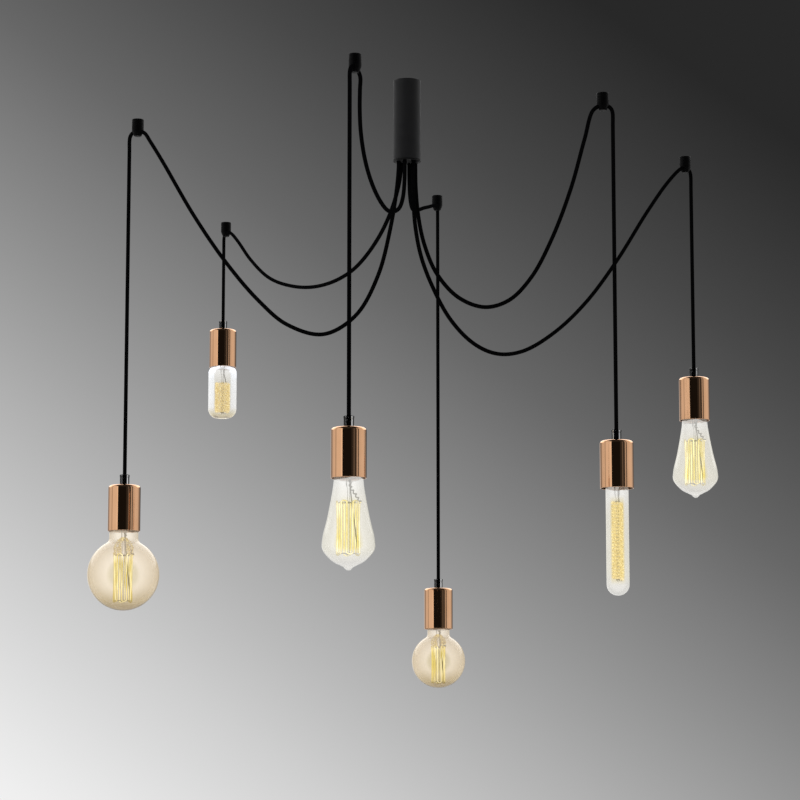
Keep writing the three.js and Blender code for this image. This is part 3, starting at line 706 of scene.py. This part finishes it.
def circle_curve(curve, centre, radius, points=32):
    spline = curve.splines.new("POLY")
    spline.points.add(points - 1)
    for i in range(points):
        angle = TURN * i / points
        x, y = centre[0] + radius * math.cos(angle), centre[1] + radius * math.sin(angle)
        spline.points[i].co = (x, y, 0, 1)
    spline.use_cyclic_u = True


def plate_with_holes(name, radius, holes, low, high, bevel, material):
    curve = bpy.data.curves.new(name, "CURVE")
    curve.dimensions = "2D"
    curve.fill_mode = "BOTH"
    curve.extrude = (high - low) / 2 - bevel
    curve.bevel_depth = bevel
    curve.bevel_resolution = 2
    curve.offset = -bevel
    circle_curve(curve, (0, 0), radius, ROUND)
    for centre, hole in holes:
        circle_curve(curve, centre, hole)
    drawn = bpy.data.objects.new(name + "_curve", curve)
    bpy.context.scene.collection.objects.link(drawn)
    bpy.context.view_layer.update()
    mesh = bpy.data.meshes.new_from_object(drawn.evaluated_get(bpy.context.evaluated_depsgraph_get()))
    bpy.data.objects.remove(drawn)
    mesh.materials.clear()
    mesh.materials.append(material)
    for vertex in mesh.vertices:
        vertex.co.z += (high + low) / 2
    obj = bpy.data.objects.new(name, mesh)
    bpy.context.scene.collection.objects.link(obj)
    work = bmesh.new()
    work.from_mesh(mesh)
    bmesh.ops.remove_doubles(work, verts=work.verts, dist=TINY)
    work.to_mesh(mesh)
    work.free()
    shade(obj, CREASE)
    return obj


screw_place = on_circle(SCREW_CIRCLE, SCREW_TURN, 0)
holes = [(on_circle(OUTLET_CIRCLE, math.radians(lamp["outlet"]), 0), CHANNEL_RADIUS) for lamp in LAMPS]
holes.append((screw_place, SCREW_HOLE))
flange = plate_with_holes("end_plate", CANOPY_RADIUS, holes, CANOPY_END, PLATE_TOP, 0.0003, M_PLATE)
settle(flange, "canopy", "powder_black", "canopy_end_plate")
spigot = plate_with_holes("end_plate_spigot", SPIGOT_RADIUS, holes, PLATE_TOP, SPIGOT_TOP, 0.0002, M_PLATE)
settle(spigot, "canopy", "powder_black")

SCREW = [(0, -0.1073), (0.0008, -0.10728), (0.0016, -0.1071), (0.0022, -0.1067), (0.0025, -0.1062),
         (0.0026, -0.1057), (0.0026, -0.1053), (0.0015, -0.1053), (0.0015, -0.0948), (0, -0.0948)]
RECESS_ARM = 0.0015
RECESS_HALF_WIDTH = 0.0004
RECESS_HEIGHTS = (-0.108, -0.1064)
BOX_FACES = [(0, 1, 2, 3), (7, 6, 5, 4), (0, 4, 5, 1), (1, 5, 6, 2), (2, 6, 7, 3), (3, 7, 4, 0)]
screw = lathe("end_plate_screw_head", SCREW, 32, screw_place, M_SCREW)
# The two bars of the cross lie at slightly different heights, so that no two cuts share a plane
for turn, shift in ((math.radians(30), 0), (math.radians(120), 0.0001)):
    along = on_circle(RECESS_ARM, turn, 0)
    across = on_circle(RECESS_HALF_WIDTH, turn + math.pi / 2, 0)
    corners = [screw_place + along * a + across * b + Vector((0, 0, height + shift))
               for height in RECESS_HEIGHTS for a, b in ((1, 1), (-1, 1), (-1, -1), (1, -1))]
    cut_away(screw, make_object("recess", corners, BOX_FACES, [M_SCREW]))
shade(screw, CREASE)
settle(screw, "canopy", "powder_black", "end_plate_screw")

for node, material in (("ceiling_bracket", M_STEEL), ("terminal_block", M_CERAMIC)):
    NODES[node].data.materials.clear()
    NODES[node].data.materials.append(material)

# Ceiling hooks, with a channel that the cord passes through

HOOK_RADIUS = 0.008
HOOK_DEPTH = 0.023
HOOK_NOSE = 0.0049
HOOK_SHOULDER = 0.0155
HOOK_BORE = 0.0021
CHANNEL_REACH = 0.02
HOOK = [(0, -HOOK_DEPTH), (HOOK_NOSE, -HOOK_DEPTH), (HOOK_RADIUS, -HOOK_SHOULDER), (HOOK_RADIUS, 0),
        (HOOK_BORE, 0), (HOOK_BORE, -SEAT_DEPTH), (0, -SEAT_DEPTH)]

for number, (lamp, cord_line) in enumerate(zip(LAMPS, cord_lines), 1):
    hook = lathe(f"hook_{number}_body", rounded(HOOK, 0.0005), 48, (*lamp["hook"], 0), M_HOOK)
    seat = Vector((*lamp["hook"], -SEAT_DEPTH))
    channel = [p for p in cord_line if (p - seat).length < CHANNEL_REACH]
    vertices, faces = wire(channel, CHANNEL_RADIUS, 24)
    cut_away(hook, make_object(f"channel_{number}", vertices, faces, [M_HOOK]))
    shade(hook, CREASE)
    settle(hook, "canopy", "black_plastic", f"hook_{number}")

# Cup, grip and lampholder, drawn with the cup's top at height 0

MOUTH = -0.061
CUP_RADIUS = 0.0215
CUP_WALL = 0.001
CUP_CORNER = 0.004
CUP_SIDE_TOP = -0.0048
GRIP_HOLE = 0.0051
GRIP_BORE = 0.0025
GRIP_SHANK = 0.0048
GRIP_RADIUS = 0.0063
GRIP_BEAD = 0.0066
GRIP_BOTTOM = -0.0087
GRIP_TOP = 0.0143
HOLDER_RADIUS = 0.0192
HOLDER_BORE = 0.0139
HOLDER_NECK = 0.012
HOLDER_TOP = -0.0013
HOLDER_MOUTH = -0.0478
GROOVE = 0.0005
RIDGE = 0.0009
PITCH = 0.0036


def thread_rows(radius, low, high, step=0.00045):
    count = max(1, round(abs(high - low) / step))
    return [(radius, low + (high - low) * i / count) for i in range(count + 1)]


CUP = [(CUP_RADIUS - CUP_WALL, MOUTH), (CUP_RADIUS, MOUTH), (CUP_RADIUS, CUP_SIDE_TOP),
       *arc(CUP_RADIUS - CUP_CORNER, -CUP_CORNER, CUP_CORNER, 0, 90, 10),
       (GRIP_HOLE, 0), (GRIP_HOLE, -CUP_WALL),
       *arc(CUP_RADIUS - CUP_CORNER, -CUP_CORNER, CUP_CORNER - CUP_WALL, 90, 0, 8)]
GRIP = [(GRIP_BORE, GRIP_BOTTOM), (GRIP_SHANK, GRIP_BOTTOM), (GRIP_SHANK, 0.0003), (GRIP_RADIUS, 0.0003),
        (GRIP_RADIUS, 0.0112), (GRIP_BEAD, 0.0115), (GRIP_BEAD, 0.0138), (GRIP_RADIUS, GRIP_TOP),
        (GRIP_BORE, GRIP_TOP)]
HOLDER = [(0, -0.0218), (0.004, -0.0218), (0.004, -0.0198), (HOLDER_BORE, -0.0198),
          *thread_rows(HOLDER_BORE, -0.0225, -0.044), (HOLDER_BORE, HOLDER_MOUTH),
          (HOLDER_RADIUS, HOLDER_MOUTH), (HOLDER_RADIUS, -0.0173), (HOLDER_NECK, -0.0083),
          (HOLDER_NECK, HOLDER_TOP), (GRIP_HOLE, HOLDER_TOP), (GRIP_HOLE, -0.009), (CHANNEL_RADIUS, -0.009),
          (CHANNEL_RADIUS, -0.012), (0, -0.012)]

# Bulbs, in the same frame as the cup

CAP_RADIUS = 0.0131
CAP_BOTTOM = -0.0483
CAP_TOP = -0.0223
GLASS_IN_CAP = 0.0121
GLASS_TOP = -0.0402
INSULATOR_BOTTOM = -0.0262
INSULATOR_TOP = -0.0238
BASE = [(0, -0.0398), (0.0124, -0.0398), (0.0124, CAP_BOTTOM), (CAP_RADIUS, CAP_BOTTOM),
        *thread_rows(CAP_RADIUS, -0.0472, -0.0302), (0.0106, INSULATOR_BOTTOM), (0.0100, -0.0256),
        (0.0062, -0.0246), (0.0048, -0.0241), (0.0038, INSULATOR_TOP), (0.0036, -0.0230), (0.0024, -0.0224),
        (0, CAP_TOP)]


def ease(t):
    return 3 * t * t - 2 * t ** 3


def spline_outline(points, spacing=0.0012):
    line = catmull_rom([Vector((r, z, 0)) for r, z in points], spacing)
    return [(max(p.x, 0), p.y) for p in line]


def globe_outline(radius, drop, neck, fillet):
    centre = MOUTH - drop + radius
    rise = math.sqrt((radius + fillet) ** 2 - (neck + fillet) ** 2)
    meet = math.degrees(math.atan2(rise, neck + fillet))
    return [*arc(0, centre, radius, -90, meet, 40),
            *arc(neck + fillet, centre + rise, fillet, 180 + meet, 180, 8)[1:], (neck, MOUTH)]


def teardrop_outline(radius, drop):
    shares = [(0, 1), (0.06, 0.998), (0.12, 0.985), (0.17, 0.968), (0.30, 0.948), (0.58, 0.905),
              (0.87, 0.822), (0.97, 0.775), (1, 0.735), (0.985, 0.68), (0.955, 0.62), (0.8, 0.44),
              (0.64, 0.2), (0.57, 0.07), (0.55, 0)]
    return spline_outline([(r * radius, MOUTH - z * drop) for r, z in shares])


def tubular_outline(radius, drop, neck, shoulder, corner):
    bottom = MOUTH - drop
    upper = [(radius, bottom + corner + (drop - shoulder - corner) * k / 6) for k in range(1, 6)]
    shape = [(radius, MOUTH - shoulder)]
    for k in range(1, 9):
        t = k / 8
        shape.append((radius + (neck - radius) * ease(t), MOUTH - shoulder * (1 - t)))
    return [*arc(radius - corner, bottom + corner, corner, -90, 0, 16), *upper, *shape]


# top and bottom are the depths of the filament's ends below the cup's mouth
SHAPES = {
    "large_globe": dict(outline=globe_outline(0.0475, 0.105, 0.0192, 0.008), glass=M_AMBER,
                        slot="amber_glass", top=0.032, bottom=0.092, radius=0.0126, kind="cage", crown=True),
    "small_globe": dict(outline=globe_outline(0.040, 0.088, 0.0165, 0.007), glass=M_AMBER,
                        slot="amber_glass", top=0.027, bottom=0.079, radius=0.0105, kind="cage", crown=True),
    "teardrop": dict(outline=teardrop_outline(0.032, 0.110), glass=M_TEARDROP, slot="clear_glass", top=0.029,
                     bottom=0.090, radius=0.0144, kind="cage"),
    "capsule": dict(outline=tubular_outline(0.0225, 0.082, 0.0194, 0.008, 0.015), glass=M_CAPSULE,
                    slot="clear_glass", top=0.025, bottom=0.073, radius=0.0108, turns=15, kind="coil"),
    "long_tube": dict(outline=tubular_outline(0.0145, 0.136, 0.0145, 0.0075, 0.014), glass=M_TUBE,
                      slot="clear_glass", top=0.017, bottom=0.116, radius=0.0060, turns=24, kind="coil"),
}


def glass_envelope(outline):
    """The outer skin, closed across the neck inside the screw base."""
    neck = outline[-1][0]
    funnel = [(neck + (GLASS_IN_CAP - neck) * ease(t), MOUTH + 0.0085 * t) for t in (0.2, 0.4, 0.6, 0.8, 1)]
    return [*outline, *funnel, (GLASS_IN_CAP, GLASS_TOP), (0, GLASS_TOP)]


PRESS = MOUTH - 0.008
ROD_RADIUS = 0.0016
SUPPORT_START = 0.0014
LEAD_CIRCLE = 0.0036
LEAD_TURN = math.radians(60)
LEAD_RADIUS = 0.0008
LEAD_WINDING = 0.0013
BACK_LEAD_CIRCLE = 0.0027
BACK_LEAD_RADIUS = 0.00028


def stem_outline(filament_bottom):
    """The flare, the press and the rod that carries the supports."""
    low = MOUTH - filament_bottom - 0.003
    return [(0, low), (0.0011, low + 0.0003), (ROD_RADIUS, low + 0.001), (ROD_RADIUS, PRESS - 0.0045),
            (0.0024, PRESS - 0.0022), (0.0032, PRESS), (0.0034, PRESS + 0.008), (0.0046, PRESS + 0.012),
            (0.0075, PRESS + 0.0165), (0.0108, PRESS + 0.02), (0.0110, PRESS + 0.0204), (0, PRESS + 0.0204)]


def hub(height):
    """A small bead on the rod."""
    half = 0.0009
    outline = [(0.0013, height - half), (0.0024, height - half), (0.0028, height), (0.0024, height + half),
               (0.0013, height + half)]
    return lathe_data(outline, 20, closed=True)[:2]


def lead_line(side, anchor):
    """A lead from the press to the filament's end, on one side (1) or the other (-1)."""
    start = on_circle(LEAD_CIRCLE, side * LEAD_TURN, PRESS + 0.006)
    bend = on_circle(LEAD_CIRCLE, side * LEAD_TURN, PRESS - 0.001)
    return catmull_rom([start, bend, bend.lerp(anchor, 0.5), anchor], 0.003)


def wound(line, radius, per_step):
    """A finer helix of uneven width round a line, with per_step half turns to each of its steps."""
    result = []
    side = (line[1] - line[0]).orthogonal().normalized()
    angle = 0
    for a, b in zip(line, line[1:]):
        tangent = (b - a).normalized()
        for k in range(6):
            side = (side - tangent * side.dot(tangent)).normalized()
            other = tangent.cross(side)
            point = a.lerp(b, k / 6)
            size = radius * (1 + 0.35 * math.sin(0.37 * len(result)) * math.sin(0.113 * len(result)))
            result.append(point + (side * math.cos(angle) + other * math.sin(angle)) * size)
            angle += per_step / 6 * TURN / 2
    return result


CAGE_ANCHORS = 6
CAGE_STEP = TURN / CAGE_ANCHORS
CAGE_ARCH = 0.0014
STRAND_BOW = 0.06
STRAND_RADIUS = 0.00095
LONG_STRAND = 0.01
SUPPORT_RADIUS = 0.00026


def cage(shape, turned):
    """Upright glowing strands in one line, arched over the supports at the top and the bottom."""
    top, bottom, radius = MOUTH - shape["top"], MOUTH - shape["bottom"], shape["radius"]
    quarter = CAGE_STEP / 4
    line = []
    for i in range(CAGE_ANCHORS):
        middle = turned + i * CAGE_STEP
        for turn, height, arch in ((middle - quarter, bottom, 0), (middle - quarter, top, 0),
                                   (middle, top, 1), (middle + quarter, top, 0),
                                   (middle + quarter, bottom, 0), (middle + 2 * quarter, bottom, -1)):
            line.append(on_circle(radius, turn, height + arch * CAGE_ARCH))
    line = line[1:-1]
    bowed = [line[0]]
    for i, (point, following) in enumerate(zip(line, line[1:])):
        if abs(following.z - point.z) > LONG_STRAND:
            for t in (0.03, 0.25, 0.5, 0.75, 0.97):
                q = point.lerp(following, t)
                bow = 1 + STRAND_BOW * math.sin(math.pi * t) * math.sin(2.1 * i)
                bowed.append(Vector((q.x * bow, q.y * bow, q.z)))
        bowed.append(following)
    supports = []
    for i in range(CAGE_ANCHORS):
        for turn, height, rise in ((turned + i * CAGE_STEP, top, 0.0012),
                                   (turned + (i + 0.5) * CAGE_STEP, bottom, -0.0012)):
            inner = on_circle(SUPPORT_START, turn, height)
            outer = on_circle(radius * 0.97, turn, height)
            tip = on_circle(radius * 1.02, turn, height + rise)
            supports.append(wire(catmull_rom([inner, outer, tip], 0.003), SUPPORT_RADIUS))
    supports += [hub(top), hub(bottom)]
    supports.append(wire(wound(lead_line(1, line[0]), LEAD_WINDING, 0.9), LEAD_RADIUS, 8))
    supports.append(wire(lead_line(-1, line[-1]), LEAD_RADIUS, 8))
    return wire(catmull_rom(bowed, 0.004), STRAND_RADIUS, 10), merged(supports)


CROWN_RADIUS = 0.0007
CROWN_WINDING = 0.0015
# The way of a crown wire as (share of the cage's radius, turn, share of the way down to the cage)
CROWN = [(0.15, 0.3, 0.06), (0.55, 0.1, 0.2), (0.85, -0.1, 0.45), (0.9, 0.1, 0.75), (0.97, 0, 1)]


def crown(shape, turned):
    """Fine wires that spread from the stem's press to the cage's upper supports."""
    top, radius = MOUTH - shape["top"], shape["radius"]
    wires = []
    for i in range(CAGE_ANCHORS):
        turn = turned + i * CAGE_STEP
        line = [on_circle(out * radius, turn + twist, PRESS + (top - PRESS) * share)
                for out, twist, share in CROWN]
        wires.append(wire(wound(catmull_rom(line, 0.0025), CROWN_WINDING, 1.6), CROWN_RADIUS))
    return merged(wires)


COIL_STEPS = 28
COIL_WINDING = 0.0012
COIL_WIRE_RADIUS = 0.00046
COIL_SUPPORT_RADIUS = 0.0002


def coil(shape, turned):
    """A glowing helix round the rod, itself a fine winding."""
    top, bottom = MOUTH - shape["top"], MOUTH - shape["bottom"]
    radius, turns = shape["radius"], shape["turns"]
    line = []
    count = turns * COIL_STEPS
    for i in range(count + 1):
        share = i / count
        line.append(on_circle(radius, turned + TURN * turns * share, top + (bottom - top) * share))
    supports = []
    for k in range(turns + 1):
        height = top + (bottom - top) * k / turns
        ends = [on_circle(SUPPORT_START, turned, height), on_circle(radius, turned, height)]
        supports.append(wire(ends, COIL_SUPPORT_RADIUS))
    supports += [hub(top), hub(bottom)]
    supports.append(wire(lead_line(1, line[0]), LEAD_RADIUS, 8))
    back = [on_circle(LEAD_CIRCLE, -LEAD_TURN, PRESS + 0.006),
            on_circle(0.0034, -LEAD_TURN, PRESS - 0.002),
            on_circle(BACK_LEAD_CIRCLE, -LEAD_TURN, top),
            on_circle(BACK_LEAD_CIRCLE, -LEAD_TURN, bottom - 0.001),
            on_circle(0.005, 0, bottom - 0.0016), line[-1]]
    supports.append(wire(catmull_rom(back, 0.004), BACK_LEAD_RADIUS))
    return wire(wound(line, COIL_WINDING, 1.4), COIL_WIRE_RADIUS), merged(supports)


def placed(name, part, offset, material, crease):
    """A mesh object from (vertices, faces), moved by the offset."""
    vertices, faces = part
    return make_object(name, [Vector(v) + offset for v in vertices], faces, [material], crease=crease)


for number, lamp in enumerate(LAMPS, 1):
    shape = SHAPES[lamp["shape"]]
    turned = math.radians(lamp["turn"])
    centre = (lamp["axis"].x, lamp["axis"].y, -lamp["cup_top"])
    offset = Vector(centre)
    pendant, bulb = f"pendant_{number}", f"bulb_{number}"
    cup = lathe(f"cup_{number}", rounded(CUP, 0.0004, closed=True), ROUND, centre, M_COPPER, closed=True)
    settle(cup, pendant, "copper", f"socket_cup_{number}")
    grip = lathe(f"grip_{number}", rounded(GRIP, 0.0004, closed=True), 48, centre, M_PLASTIC, closed=True)
    settle(grip, pendant, "clear_plastic", f"cord_grip_{number}")
    holder = lathe(f"holder_{number}", rounded(HOLDER, 0.0005), 64, centre, M_HOLDER,
                   thread=(HOLDER_BORE, -GROOVE, PITCH, -0.0445, -0.022))
    settle(holder, pendant, "black_plastic", f"lampholder_{number}")

    vertices, faces, rows = lathe_data(BASE, 64, centre,
                                       thread=(CAP_RADIUS, RIDGE, PITCH, -0.0475, -0.0299))
    insulator = [int(INSULATOR_BOTTOM <= BASE[row][1] < INSULATOR_TOP) for row in rows]
    base = make_object(f"base_{number}", vertices, faces, [M_CAP, M_TIP], insulator)
    settle(base, bulb, "cap_metal", f"bulb_base_{number}")

    glass = lathe(f"glass_{number}", glass_envelope(shape["outline"]), ROUND, centre, shape["glass"],
                  crease=50)
    depths = [MOUTH - lamp["cup_top"] - vertex.co.z for vertex in glass.data.vertices]
    deepest = max(depths)
    uv = glass.data.uv_layers.new(name="height")
    for loop in glass.data.loops:
        uv.data[loop.index].uv = (0.5, max(0, depths[loop.vertex_index] / deepest))
    glass.visible_glossy = False
    settle(glass, bulb, shape["slot"], f"bulb_glass_{number}")
    stem = lathe(f"stem_{number}", stem_outline(shape["bottom"]), 32, centre, M_STEM)
    settle(stem, bulb, "clear_glass")

    if shape["kind"] == "cage":
        strand, supports = cage(shape, turned)
        filament = placed(f"filament_{number}", strand, offset, M_GLOW, 70)
    else:
        strand, supports = coil(shape, turned)
        filament = placed(f"filament_{number}", strand, offset, M_COIL, 70)
    settle(filament, bulb, "filament", f"bulb_filament_{number}")
    glowing_parts = [filament]
    if shape.get("crown"):
        upper = placed(f"crown_{number}", crown(shape, turned), offset, M_CROWN, 70)
        settle(upper, bulb, "filament")
        glowing_parts.append(upper)
    for part in glowing_parts:
        part.visible_diffuse = False
        part.visible_glossy = False
    settle(placed(f"supports_{number}", supports, offset, M_WIRE, 50), bulb, "steel")

# Studio: pale floor, one soft lamp and world light

FLOOR_HEIGHT = -1.45
floor_mesh = bpy.data.meshes.new("floor")
corners = [(x, y, FLOOR_HEIGHT) for x, y in ((-5, -5), (5, -5), (5, 6), (-5, 6))]
floor_mesh.from_pydata(corners, [], [(0, 1, 2, 3)])
floor = bpy.data.objects.new("floor", floor_mesh)
bpy.context.scene.collection.objects.link(floor)
floor_shader = Shader("floor", grey(0.72), 0.7)
floor_shader.color(floor_shader.ramp(floor_shader.noise(3, 3), [(0.3, grey(0.70)), (0.7, grey(0.74))]))
floor_mesh.materials.append(floor_shader.material)

lamp_data = bpy.data.lights.new("soft_top", "AREA")
lamp_data.energy = 14
lamp_data.size = 1.2
soft_lamp = bpy.data.objects.new("soft_top", lamp_data)
soft_lamp.location = (-0.9, -1.0, 1.7)
aim = Vector((0, 0.3, -0.3)) - soft_lamp.location
soft_lamp.rotation_euler = aim.to_track_quat("-Z", "Y").to_euler()
soft_lamp.visible_glossy = False
bpy.context.scene.collection.objects.link(soft_lamp)

world = bpy.data.worlds.new("studio")
bpy.context.scene.world = world
world.use_nodes = True
world.node_tree.nodes.clear()
sky = Nodes(world.node_tree)
east, north, up = sky.split(sky.node("ShaderNodeTexCoord").outputs["Generated"])
sideways = sky.math("ABSOLUTE", east)

# Grey backdrop, paler to the lower left, as screen levels that are then turned into linear light
MIDDLE = 123 / 255
EASTWARD = -291 / 255
UPWARD = -425 / 255
TONES = [(0.153, 0.157), (0.22, 0.215), (0.30, 0.283), (0.42, 0.404), (0.48, 0.482), (0.565, 0.583),
         (0.65, 0.685), (0.76, 0.808), (0.86, 0.906), (0.90, 0.94), (0.95, 0.96)]
fade = sky.spread(sideways, 1, 0, 0.2, 0.6, "SMOOTHSTEP")
slope = sky.math("MULTIPLY", sky.math("MULTIPLY", east, EASTWARD), fade)
rise = sky.math("MAXIMUM", sky.math("MINIMUM", sky.math("SUBTRACT", up, 0.137), 0.2), -0.3)
level = sky.math("ADD", sky.math("ADD", MIDDLE, slope), sky.math("MULTIPLY", rise, UPWARD))
tone = sky.ramp(level, [(place, grey(value)) for place, value in TONES])
backdrop = sky.math("POWER", sky.math("MULTIPLY_ADD", tone, 1 / 1.055, 0.055 / 1.055), 2.4)

# Studio walls as (bearing from the viewer's side, level): wide pale sides and a dark gap behind the viewer
WALLS = [(-180, 0.16), (-150, 0.18), (-130, 0.36), (-122, 0.70), (-96, 0.80), (-92, 0.48), (-87, 0.48),
         (-84, 0.84), (-50, 0.84), (-47, 0.88), (-46, 1.1), (-41, 1.1), (-39.5, 0.010), (18.5, 0.010),
         (20, 0.035), (32, 0.035), (34, 0.17), (38, 0.17), (40, 0.05), (53, 0.05), (55, 0.58), (61, 0.58),
         (63, 0.10), (69, 0.10), (71, 0.70), (84, 0.74), (100, 0.80), (122, 0.72), (130, 0.36), (150, 0.18),
         (180, 0.16)]
bearing = sky.math("ARCTAN2", east, sky.math("MULTIPLY", north, -1))
place = sky.math("ADD", sky.math("DIVIDE", bearing, TURN), 0.5)
studio = sky.ramp(place, [((degrees + 180) / 360, grey(value)) for degrees, value in WALLS])

# A dark ceiling that ends at the sides, and a bright strip high up straight behind the object
ceiling = sky.math("MULTIPLY", sky.step(up, 0.40, 0.48), sky.step(sideways, 0.72, 0.55))
studio = sky.mix(ceiling, studio, grey(0.03))
high_behind = sky.math("MULTIPLY", sky.step(north, 0.2, 0.45), sky.step(up, 0.2, 0.3))
high_behind = sky.math("MULTIPLY", high_behind, sky.step(up, 0.92, 0.84))
studio = sky.mix(high_behind, studio, grey(1.9))

# The backdrop itself, as far round as shiny surfaces see it behind the object
straight_behind = sky.math("MULTIPLY", sky.step(north, 0.75, 0.9), sky.step(up, 0.3, 0.2))
studio = sky.mix(straight_behind, studio, backdrop)

path = sky.node("ShaderNodeLightPath")
seen = sky.math("MAXIMUM", path.outputs["Is Camera Ray"], path.outputs["Is Transmission Ray"])
background = sky.node("ShaderNodeBackground")
sky.link(sky.mix(seen, studio, backdrop), background.inputs["Color"])
output = sky.node("ShaderNodeOutputWorld")
sky.link(background.outputs[0], output.inputs["Surface"])

bpy.context.scene.view_settings.view_transform = "Standard"
